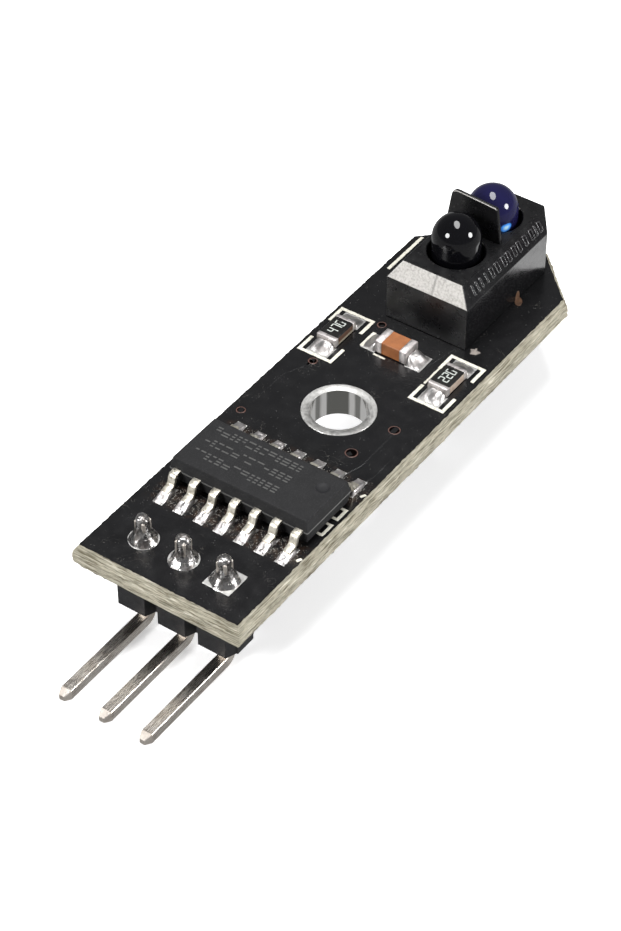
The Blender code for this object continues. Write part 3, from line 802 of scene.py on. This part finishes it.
TRACE_WIDTH = 0.28
TRACES = (
    ((-2.50, 2.18), (-3.9, 3.6), (-3.9, 5.4)),
    ((0.04, 2.18), (-1.0, 3.3), (-1.0, 5.2)),
    ((2.58, 2.18), (3.9, 3.5), (3.9, 5.2)),
    ((-3.5, 11.7), (-4.24, 12.85), (-4.24, 16.5), (-3.41, 18.29)),
    ((-2.3, 11.7), (-3.2, 13.2), (-3.2, 17.0), (-3.61, 18.9)),
    ((1.6, 11.7), (2.44, 13.43)),
    ((2.9, 11.7), (3.29, 12.9), (3.29, 16.17), (3.53, 18.9)),
    ((4.1, 11.7), (4.3, 12.6), (4.3, 18.2)),
    ((-2.06, 22.93), (-1.4, 22.2), (-1.4, 21.45)),
    ((1.1, 21.45), (1.8, 21.6), (2.2, 23.6), (3.4, 24.3)),
)


def make_traces():
    """Copper tracks show as a faint relief in the mask; the underside's are mirrored."""
    for name, side, place in (("trace_relief_top", 1, None),
                              ("trace_relief_under", -1, at(0.0, 0.0, -BOARD_THICK, flip=True))):
        traces = Piece(name, "mask", "solder_mask")
        for route in TRACES:
            line = ribbon([(side * x, y) for x, y in route], TRACE_WIDTH)
            traces.slab(line, PAD_FOOT, TRACE_HEIGHT, 0.008, place)
        traces.finish(20.0)


HEADER_PAD_RADIUS = 0.82
SENSOR_PAD_RADIUS = 0.85
CHIP_PAD_MARGIN = 0.05


def make_pads():
    """Pads under the leads, header pins, chip parts and sensor leads; the last pin's is square."""
    pads = Piece("solder_pads", "tin", "tinned_copper")
    half = SOIC_PAD_WIDTH / 2
    for x, tip, out in lead_pads():
        near, far = sorted((tip - 0.75 * out, tip + SOIC_PAD_REACH * out))
        pads.slab(rectangle(x - half, near, x + half, far), PAD_FOOT, PAD_HEIGHT)
    half = HEADER_PAD_RADIUS
    for k in (1, 2, 3):
        x, y = cad_centre(f"header_solder_{k}").xy
        square = rectangle(x - half, y - half, x + half, y + half)
        pads.slab(square if k == 3 else circle(x, y, half, 40), PAD_FOOT, PAD_HEIGHT)
    for k in range(1, 7):
        (low_x, low_y, _), (high_x, high_y, _) = cad(f"chip_solder_{k}")
        shape = rectangle(low_x - CHIP_PAD_MARGIN, low_y - CHIP_PAD_MARGIN,
                          high_x + CHIP_PAD_MARGIN, high_y + CHIP_PAD_MARGIN)
        pads.slab(shape, PAD_FOOT, PAD_HEIGHT)
    for k in range(1, 5):
        x, y = cad_centre(f"sensor_solder_{k}").xy
        under = at(0.0, 0.0, -BOARD_THICK, flip=True)
        pads.slab(circle(x, y, SENSOR_PAD_RADIUS, 32), PAD_FOOT, PAD_HEIGHT, place=under)
    pads.finish()


def print_line(piece, points, width=0.20, seed=0.0):
    outline = roughen(divide(ribbon(points, width), 0.10), 0.018, 0.16, seed)
    piece.slab(outline, -0.005, PRINT_HEIGHT, 0.006)


def bracket(left, right, end, arm):
    """A U whose back lies at end and whose arms reach back by arm."""
    return [(left, end + arm), (left, end), (right, end), (right, end + arm)]


def make_silkscreen():
    """White part outlines round the resistors, the capacitor and the chip."""
    ink = Piece("silkscreen", "silkscreen", "solder_mask")
    first, second = cad_centre("resistor_1_body"), cad_centre("resistor_2_body")
    half_x, half_y, arm = 1.02, 2.04, 1.22
    for seed, (x, y, _) in enumerate((first, second)):
        for side, shift in ((1, 0), (-1, 4)):
            shape = bracket(x - half_x, x + half_x, y - side * half_y, side * arm)
            print_line(ink, shape, seed=seed + shift)
    x, y, _ = second
    print_line(ink, [(x - half_x, y - half_y + arm + 0.15), (x - half_x, y + half_y - arm)], 0.12, 9.0)
    x, y, _ = cad_centre("capacitor_body")
    print_line(ink, [(x - 1.88, y - 0.62), (x - 1.88, y + 0.72)], 0.22, 11.0)
    print_line(ink, [(x - 0.95, y - 0.80), (x - 0.20, y - 0.80)], 0.12, 12.0)
    high = cad("soic_body")[1]
    edge, back = BOARD_WIDTH / 2 - 0.27, high.x - 0.25
    for seed, (near, far) in enumerate(((7.54, 8.38), (8.90, 9.69))):
        print_line(ink, [(back, near), (edge, near), (edge, far), (back, far)], 0.17, 14.0 + seed)
    for y in (5.42, 11.09):
        print_line(ink, [(edge + 0.02, y - 0.14), (edge + 0.16, y + 0.14)], 0.16, y)
    stripe = BOARD_WIDTH / 2 - 0.45
    start = BOARD_LENGTH - BOARD_CORNER - 3.3
    print_line(ink, [(-stripe, start), (-stripe, BOARD_LENGTH - BOARD_CORNER + 0.18)], 0.20, 18.0)
    ink.finish()


# ---------------------------------------------------------------- header

def make_header_block():
    """Three octagonal units on thin webs, with their moulded edges rounded."""
    low, high = cad("header_block")
    pins = [cad_centre(f"header_pin_{k}").x for k in (1, 2, 3)]
    face, corner_x, corner_y = 0.865, 0.24, 0.60
    near = [(low.x, low.y + corner_y)]
    for x in pins:
        near += [(x - face - corner_x, low.y + corner_y), (x - face, low.y),
                 (x + face, low.y), (x + face + corner_x, low.y + corner_y)]
    near.append((high.x, low.y + corner_y))
    far = [(x, low.y + high.y - y) for x, y in reversed(near)]
    block = Piece("header_housing", "header", "header_plastic", ["header_block"])
    block.prism(near + far, low.z, high.z)
    y, foot = (low.y + high.y) / 2, 0.46
    for x in pins:
        block.slab(rectangle(x - foot, y - foot, x + foot, y + foot), 0.0, 0.06, 0.02,
                   at(0.0, 0.0, low.z, flip=True))
    block.finish(30.0, 0.045)


def make_pins():
    """Square drawn pins, bent outwards, with coined tips."""
    for k in (1, 2, 3):
        low, high = cad(f"header_pin_{k}")
        side = high.x - low.x
        x, row, run = (low.x + high.x) / 2, high.y - side / 2, low.z + side / 2
        bend = fillet([(row, high.z), (row, run), (low.y, run)], 0.42, 8)
        body = bend[1:-1]
        path = [(row, high.z), (row, high.z - 0.05), (row, high.z - 0.26), *body,
                (low.y + 0.42, run), (low.y + 0.05, run), (low.y, run)]
        shares = [0.50, 0.62, 1.0, *[1.0] * len(body), 1.0, 0.60, 0.50]
        pin = Piece(f"pin_{k}", "pin", "pin_metal", [f"header_pin_{k}"])
        pin.sweep(path, rounded_rectangle(side, side, 0.04, 1), x, shares)
        pin.finish(15.0)


def make_header_solder():
    """Uneven cones of solder, drawn up over the pins' ends."""
    for k in (1, 2, 3):
        x, y = cad_centre(f"header_solder_{k}").xy
        solder = Piece(f"header_joint_{k}", "joint", "solder", [f"header_solder_{k}"])
        pin_top = cad(f"header_pin_{k}")[1].z
        neck, foot, tip = (1.10, 0.84, 0.98)[k - 1], 0.77, 0.37

        def lumps(angle, height, k=k):
            rise = 1.6 * height + 5 * k
            return 1 + 0.20 * noise_round(angle, 1.3, rise) + 0.06 * noise_round(angle, 3.38, 2.6 * rise)
        profile = [(0.0, 0.0), (foot + 0.03, 0.0)]
        for step in range(13):
            t = step / 12
            profile.append((tip + (foot - tip) * (1 - t) ** 2.1, 0.03 + (neck - 0.03) * t ** 0.9))
        for step in range(9):
            angle = math.pi / 2 * step / 8
            profile.append((tip * math.cos(angle) ** 0.6, pin_top - 0.22 + 0.26 * math.sin(angle)))
        solder.lathe(profile[:-1] + [(0.0, pin_top + 0.04)], (x, y, 0.0), 48, wobble=lumps)
        solder.finish(60.0)


# ---------------------------------------------------------------- chip with fourteen leads

def make_soic_body():
    """Bevelled resin body with its parting line and a round dimple beside lead 1."""
    low, high = cad("soic_body")
    (x, y, _), (width, length, _) = (low + high) / 2, high - low
    draft = 0.14
    # inset, height and corner radius
    profile = [(draft + 0.05, low.z, 0.05), (draft, low.z + 0.05, 0.06),
               (0.015, SOIC_PARTING - 0.05, 0.07), (0.0, SOIC_PARTING - 0.035, 0.07),
               (0.0, SOIC_PARTING + 0.035, 0.07), (0.015, SOIC_PARTING + 0.05, 0.07),
               (draft - 0.01, high.z - 0.06, 0.06), (draft + 0.015, high.z - 0.02, 0.055),
               (draft + 0.055, high.z, 0.05)]
    body = Piece("soic_case", "resin pit", "chip_resin", ["soic_body"])
    rings = [level(rounded_rectangle(width - 2 * inset, length - 2 * inset, radius), z)
             for inset, z, radius in profile]
    loops = body.loft(rings, at(x, y), caps=False)
    body.bm.faces.new(loops[0])
    dimple_x, dimple_y = cad_centre("soic_lead_01").x - 0.38, y + 0.66
    dimple = [(0.38, 0.0), (0.345, -0.02), (0.28, -0.055), (0.16, -0.07), (0.0, -0.072)]
    pit = body.loft([level(circle(dimple_x, dimple_y, radius, 32 if radius else 1), high.z + drop)
                     for radius, drop in dimple], caps=False)
    body.fill(loops[-1], [pit[0]])
    body.finish(25.0, tag=lambda middle: int(math.hypot(middle.x - dimple_x, middle.y - dimple_y) < 0.37
                                             and high.z - 0.1 < middle.z < high.z - 0.002))


def make_soic_marking():
    """Plain strokes where a chip carries its printing."""
    low, high = cad("soic_body")
    marks = Piece("soic_marking", "chip_print", "chip_resin")
    draw = random.Random(7)
    for row in range(3):
        y = high.y - 0.80 - row * 0.98
        x = low.x + 0.75
        while x < high.x - 2.6:
            length = draw.choice((0.20, 0.30, 0.42))
            for rise in (-0.20, 0.0, 0.20):
                if draw.random() < 0.62:
                    dash = ribbon([(x, y + rise), (x + length, y + rise)], 0.09)
                    marks.slab(dash, high.z - 0.01, high.z + 0.006, 0.003)
            x += length + 0.13
    marks.finish()


def lead_path():
    """Outward distance past the case and height of a lead's centre line."""
    return fillet([(-0.10, SOIC_PARTING), (0.30, SOIC_PARTING), (0.48, 0.32), (0.95, 0.24)], 0.16, 5)


def make_soic_leads():
    """Bent leads, numbered as in the frame."""
    low, high = cad("soic_body")
    middle, half = (low.y + high.y) / 2, (high.y - low.y) / 2
    for k, (x, tip, out) in enumerate(lead_pads(), 1):
        lead = Piece(f"lead_{k:02d}", "lead", "lead_metal", [f"soic_lead_{k:02d}"])
        scale = (abs(tip - middle) - half) / 0.95
        path = [(middle + out * (half + y * scale), z) for y, z in lead_path()]
        section = rounded_rectangle(SOIC_LEAD_WIDTH, SOIC_LEAD_THICK, 0.035, 2)
        lead.sweep(path, section, x)
        lead.finish()


def make_soic_solder():
    """Solder past each lead's tip and along both sides of its foot."""
    solder = Piece("soic_joints", "foot", "solder")
    draw = random.Random(11)
    for k, (x, tip, out) in enumerate(lead_pads()):
        toe, heel = SOIC_PAD_REACH - 0.04, 0.62
        full = 0.19 + 0.05 * draw.random()
        reach = 0.30 + 0.12 * draw.random()

        def height(px, py, full=full, reach=reach):
            past = py - (heel - toe) / 2
            away = math.hypot(max(0.0, abs(px) - SOIC_LEAD_WIDTH / 2 + 0.02), max(0.0, past))
            lip = 0.07 * math.exp(-((py - 0.52) / 0.16) ** 2)
            return 0.05 + lip + full * math.exp(-(away / reach) ** 2)
        place = at(x, tip + out * (toe - heel) / 2) @ Matrix.Diagonal((1, out, 1, 1))
        mound(solder, place, SOIC_PAD_WIDTH / 2 + 0.02, (toe + heel) / 2 + 0.03, height, k * 3.7, 0.03)
    solder.finish(60.0)


# ---------------------------------------------------------------- chip parts

def make_digits(name, text, centre, top):
    """A generic three-figure value, read across the part, from straight strokes."""
    ink = Piece(name, "code_print", "resistor_ceramic")
    wide, high, stroke, pitch = 0.24, 0.56, 0.062, 0.37
    half = high / 2
    segments = {"t": ((0, half), (wide, half)), "b": ((0, -half), (wide, -half)),
                "m": ((0, 0), (wide, 0)), "l": ((0, 0), (0, half)), "d": ((0, -half), (0, 0)),
                "r": ((wide, -half), (wide, half)), "u": ((wide, 0), (wide, half))}
    drawn = {"0": "tbludr", "2": "tmbud", "4": "lmr", "7": "tr"}
    start = -(len(text) * pitch - (pitch - wide)) / 2
    for index, figure in enumerate(text):
        shift = start + index * pitch
        for key in drawn[figure]:
            line = ribbon([(x + shift, y) for x, y in segments[key]], stroke)
            ink.slab(line, -0.005, 0.008, 0.003, at(centre.x, centre.y, top, math.pi / 2))
    ink.finish()


def chip_place(name):
    """Place, length, width, height and centre of a chip part, its X turned along its length."""
    lows, highs = zip(*(cad(f"{name}_{part}") for part in ("body", "end_a", "end_b")))
    low = Vector([min(v[i] for v in lows) for i in range(3)])
    high = Vector([max(v[i] for v in highs) for i in range(3)])
    size, centre = high - low, (low + high) / 2
    place = at(centre.x, centre.y, low.z, math.pi / 2 if size.y > size.x else 0.0)
    return place, max(size.xy), min(size.xy), size.z, centre


def make_chip_body(name, material, slot, cap):
    place, length, width, height, _ = chip_place(name)
    body = Piece(f"{name}_ceramic", material, slot, [f"{name}_body"])
    shape = rounded_rectangle(length - 0.06, width - 0.05, 0.04, 2)
    body.slab(shape, 0.02, height - 0.02, 0.03, place)
    body.finish()
    for end, side in (("a", -1), ("b", 1)):
        cover = Piece(f"{name}_cap_{end}", "termination", "termination", [f"{name}_end_{end}"])
        rings = []
        for z, inset, radius in ((0.0, 0.03, 0.03), (0.03, 0.0, 0.05), (height - 0.05, 0.0, 0.05),
                                 (height - 0.015, 0.015, 0.05), (height, 0.05, 0.04)):
            rings.append(level(rounded_rectangle(cap - 2 * inset, width - 2 * inset, radius, 2), z))
        cover.loft(rings, place @ at(side * (length / 2 - cap / 2), 0.0))
        cover.finish()


def make_resistor(name, code, ceramic):
    make_chip_body(name, ceramic, "resistor_ceramic", 0.32)
    place, length, width, height, centre = chip_place(name)
    coat = Piece(f"{name}_coat", "coat", "resistor_ceramic")
    outline = rounded_rectangle(length - 0.46, width - 0.06, 0.06)
    coat.slab(outline, height - 0.05, height + 0.015, 0.03, place)
    coat.finish()
    make_digits(f"{name}_code", code, centre, centre.z + height / 2 + 0.015)


def make_chip_solder():
    """Solder that climbs each termination and swells towards the end of its pad."""
    for k in range(1, 7):
        low, high = cad(f"chip_solder_{k}")
        name = ("resistor_1", "resistor_2", "capacitor")[(k - 1) // 2]
        _, _, width, chip_height, centre = chip_place(name)
        offset = (low + high) / 2 - centre
        axis = 1 if abs(offset.y) > abs(offset.x) else 0
        run, cover = high[axis] - low[axis], 0.08
        half = (run + cover) / 2
        turn = axis * math.pi / 2 + (0.0 if offset[axis] > 0 else math.pi)
        heading = Vector((math.cos(turn), math.sin(turn), 0.0))
        start = centre + heading * (offset.dot(heading) - run / 2 - cover + half)
        place = at(start.x, start.y, turn=turn)
        full = chip_height - 0.02

        def height(px, py, full=full, half=half, k=k):
            t = (px + half) / (2 * half)
            slope = full * (1 - smooth_step(-0.25, 1.05, t)) ** 1.25
            side = 0.22 * math.sin(2.4 * k)
            belly = 0.11 * math.exp(-((t - 0.55) / 0.24) ** 2 - ((py - side) / 0.26) ** 2)
            crown = 1 - 0.30 * (abs(py) / 0.62) ** 3
            return 0.03 + (slope + belly) * crown
        solder = Piece(f"chip_joint_{k}", "solder", "solder", [f"chip_solder_{k}"])
        mound(solder, place, half, width / 2 + 0.02, height, 2.3 * k, 0.012, 5.0, 56, 18)
        solder.finish(60.0)


# ---------------------------------------------------------------- reflective sensor

HOUSING_WALL = 2.76
HOUSING_TOP = 3.85
HOUSING_SIDE_SLOPE = 0.68
HOUSING_END_SLOPE = 0.52
HOUSING_CORNER = 1.30
WELL_RADIUS = 1.60
DIVIDER_HEIGHT = 6.29


def housing_frame():
    """A move to the housing's centre, and its half size."""
    low, high = cad("sensor_housing")
    return at(*(low + high).xy / 2), (high - low) / 2


def housing_outline(inset_x, inset_y, cut):
    _, half = housing_frame()
    x, y = half.x - inset_x, half.y - inset_y
    return [(-x, -y), (x, -y), (x, y - cut), (x - cut, y), (cut - x, y), (-x, y - cut)]


def make_housing():
    """One moulding: walls, sloped shoulders, two round wells and the thin plate between them."""
    place, half = housing_frame()
    housing = Piece("sensor_case", "housing", "housing_plastic", ["sensor_housing"])
    shoulder = housing_outline(HOUSING_SIDE_SLOPE, HOUSING_END_SLOPE, 0.10)
    walls = stack(housing_outline(0.0, 0.0, HOUSING_CORNER), 0.02, HOUSING_WALL)
    loops = housing.loft([*walls, level(shoulder, HOUSING_TOP)], place, caps=False)
    housing.bm.faces.new(loops[0])
    wells = []
    for node in ("detector_lens", "emitter_lens"):
        lens = cad_centre(node)
        rim = [(WELL_RADIUS + 0.05, HOUSING_TOP), (WELL_RADIUS, HOUSING_TOP - 0.05), (WELL_RADIUS, 0.9)]
        well = housing.loft([level(circle(lens.x, lens.y, radius, 56), z) for radius, z in rim],
                            caps=False)
        housing.bm.faces.new(well[-1])
        wells.append(well[0])
    housing.fill(loops[-1], wells)
    housing.finish(20.0, 0.04)
    make_divider(place)
    make_raised_marks(place, half)
    window = Piece("sensor_side_window", "amber", "housing_plastic")
    upright = at(half.x, 0.56, 0.12, math.pi / 2, "Y")
    lying = at(half.x + 0.15, 0.44, turn=math.radians(122.5))
    for long, wide, spot in ((0.46, 0.22, upright), (0.40, 0.21, lying)):
        oval = [(long * x, wide * y) for x, y in circle(0.0, 0.0, 1.0)]
        window.slab(oval, -0.02, 0.012, 0.006, place @ spot)
    window.finish()


def make_divider(place):
    """The plate that keeps the emitter's light from the detector, tapered and round at its left corner."""
    plate = Piece("sensor_divider", "housing", "housing_plastic")
    foot, top, round_off, shift, tilt = 1.78, 1.48, 0.45, -0.10, 0.16
    outline = [(-foot, HOUSING_TOP - 0.3), (foot, HOUSING_TOP - 0.3), (foot, HOUSING_TOP),
               (top + 0.01, DIVIDER_HEIGHT - 0.13 - tilt), (top - 0.03, DIVIDER_HEIGHT - 0.04 - tilt),
               (top - 0.12, DIVIDER_HEIGHT - tilt)]
    for k in range(7):
        angle = math.radians(90 + 80 * k / 6)
        outline.append((round_off - top + round_off * math.cos(angle),
                        DIVIDER_HEIGHT - round_off + round_off * math.sin(angle)))
    outline.append((-foot, HOUSING_TOP))
    rings = [[(x + shift, y, z) for x, z in outline] for y in (-0.12, 0.12)]
    plate.loft(rings, place)
    plate.finish(50.0, 0.09)


def make_raised_marks(place, half):
    """A row of plain rounded frames, raised and glossy, along the right shoulder."""
    marks = Piece("sensor_shoulder_frames", "bars", "housing_plastic")
    rise = HOUSING_TOP - HOUSING_WALL
    lean = math.atan2(rise, HOUSING_SIDE_SLOPE)
    slope = math.hypot(rise, HOUSING_SIDE_SLOPE)
    shoulder = at(half.x - HOUSING_SIDE_SLOPE / 2, 0.0, HOUSING_WALL + rise / 2, lean, "Y")
    tilt = place @ shoulder @ at(0.0, 0.0, turn=math.pi / 2)
    draw = random.Random(5)
    ridge = ((0.0, -0.02), (0.0, 0.04), (0.03, 0.085), (0.06, 0.085), (0.09, 0.04), (0.09, -0.02))
    x = -half.y + 0.95
    while x < half.y - 1.9:
        width = draw.choice((0.36, 0.36, 0.21))
        outline = [(px + x + width / 2, py) for px, py in rounded_rectangle(width, slope * 0.52, 0.10, 4)]
        marks.loft([level(shrink(outline, inset), z) for inset, z in ridge], tilt, wrap=True)
        x += width + draw.choice((0.14, 0.20, 0.28))
    marks.finish(60.0)


def make_lenses():
    """Domed epoxy packages, standing in the wells."""
    for node, material, growth, shift, drop in (("detector_lens", "black_lens", 0.06, 0.0, 0.0),
                                                ("emitter_lens", "blue_lens", 0.12, -0.10, 0.24)):
        low, high = cad(node)
        radius, top = (high.x - low.x) / 2 + growth, high.z - drop
        profile = [(0.0, low.z), (radius, low.z), (radius, low.z + 0.5), (radius, top - radius)]
        for k in range(1, 20):
            angle = math.pi / 2 * k / 20
            profile.append((radius * math.cos(angle), top - radius + radius * math.sin(angle)))
        profile.append((0.0, top))
        lens = Piece(node.replace("_lens", "_dome"), material, material, [node])
        lens.lathe(profile, ((low.x + high.x) / 2 + shift, (low.y + high.y) / 2, 0.0), 72)
        lens.finish(60.0)


def make_sensor_leads():
    """Square leads through the board, soldered underneath."""
    for k in range(1, 5):
        low, high = cad(f"sensor_lead_{k}")
        side = high.x - low.x
        x, y = (low + high).xy / 2
        lead = Piece(f"sensor_pin_{k}", "lead", "lead_metal", [f"sensor_lead_{k}"])
        ends = ((high.z, side), (low.z + 0.10, side), (low.z + 0.02, 0.8 * side), (low.z, 0.6 * side))
        lead.loft([level(rounded_rectangle(wide, wide, 0.04 * wide / side, 2), z) for z, wide in ends],
                  at(x, y))
        lead.finish()
        cone_low, cone_high = cad(f"sensor_solder_{k}")
        tall = cone_high.z - cone_low.z
        solder = Piece(f"sensor_joint_{k}", "solder", "solder", [f"sensor_solder_{k}"])
        profile = [(0.0, -BOARD_THICK)]
        for step in range(11):
            t = step / 10
            profile.append((0.30 + 0.46 * (1 - t) ** 1.8, -BOARD_THICK - tall * t))
        profile.append((0.0, -BOARD_THICK - tall - 0.03))
        solder.lathe(profile, (x, y, 0.0), 36, wobble=lambda angle, height, k=k:
                     1 + 0.14 * noise_round(angle, 1.5, 2 * height + 3 * k))
        solder.finish(60.0)


# ---------------------------------------------------------------- stage

def direction(azimuth, elevation):
    """A unit vector; azimuth 0 comes from the header end and grows towards +X."""
    a, e = math.radians(azimuth), math.radians(elevation)
    return Vector((math.sin(a) * math.cos(e), -math.cos(a) * math.cos(e), math.sin(e)))


def look_along(obj, towards):
    obj.rotation_mode = "QUATERNION"
    obj.rotation_quaternion = towards.to_track_quat("-Z", "Y")


def make_camera():
    camera = bpy.data.cameras.new("camera")
    camera.lens = CAMERA_LENS
    camera.sensor_width = 36.0
    camera.clip_start = 5 * MM
    camera.clip_end = 10.0
    obj = add_object("camera", camera)
    back = direction(CAMERA_AZIMUTH, CAMERA_ELEVATION)
    obj.location = TO_FRAME @ Vector(CAMERA_AIM) + back * CAMERA_DISTANCE * MM
    look_along(obj, -back)
    bpy.context.scene.camera = obj


def make_floor():
    mesh = bpy.data.meshes.new("floor")
    square = rectangle(-FLOOR_REACH, -FLOOR_REACH, FLOOR_REACH, FLOOR_REACH)
    mesh.from_pydata(level(square, cad_bounds[0][2]), [], [(0, 1, 2, 3)])
    mesh.materials.append(floor_shader())
    add_object("floor", mesh)


def make_light(name, azimuth, elevation, radiance, width, height, distance=0.40):
    """A round or oval soft box of the given angular size in degrees."""
    light = bpy.data.lights.new(name, "AREA")
    light.shape = "ELLIPSE"
    light.size = 2 * distance * math.tan(math.radians(width / 2))
    light.size_y = 2 * distance * math.tan(math.radians(height / 2))
    light.energy = radiance * math.pi * light.size * light.size_y * math.pi / 4
    obj = add_object(name, light)
    towards = direction(azimuth, elevation)
    obj.location = towards * distance
    look_along(obj, -towards)


def make_world():
    """A dim room round the soft boxes, with a pale backdrop behind the floor."""
    world = bpy.data.worlds.new("studio")
    bpy.context.scene.world = world
    world.use_nodes = True
    tree = world.node_tree
    room = tree.nodes["Background"]
    room.inputs["Color"].default_value = (0.17, 0.17, 0.175, 1.0)
    backdrop = tree.nodes.new("ShaderNodeBackground")
    backdrop.inputs["Color"].default_value = (0.94, 0.94, 0.945, 1.0)
    seen = tree.nodes.new("ShaderNodeLightPath").outputs["Is Camera Ray"]
    choose = tree.nodes.new("ShaderNodeMixShader")
    for socket, value in zip(choose.inputs, (seen, room.outputs[0], backdrop.outputs[0])):
        tree.links.new(value, socket)
    tree.links.new(choose.outputs[0], tree.nodes["World Output"].inputs["Surface"])


def make_stage():
    make_camera()
    make_floor()
    make_world()
    make_light("left soft box", -22.0, 31.0, 29.0, 20.0, 20.0)
    make_light("right soft box", 107.6, 23.5, 29.0, 20.0, 20.0)
    make_light("overhead soft box", -140.0, 84.0, 14.0, 22.0, 40.0)


# ---------------------------------------------------------------- everything

make_stage()
make_board()
make_plating()
make_vias()
make_traces()
make_pads()
make_silkscreen()
make_header_block()
make_pins()
make_header_solder()
make_soic_body()
make_soic_marking()
make_soic_leads()
make_soic_solder()
make_resistor("resistor_1", "470", "stained")
make_resistor("resistor_2", "220", "alumina")
make_chip_body("capacitor", "tan_ceramic", "capacitor_ceramic", 0.44)
make_chip_solder()
make_housing()
make_lenses()
make_sensor_leads()
bpy.context.scene.view_settings.view_transform = "Standard"
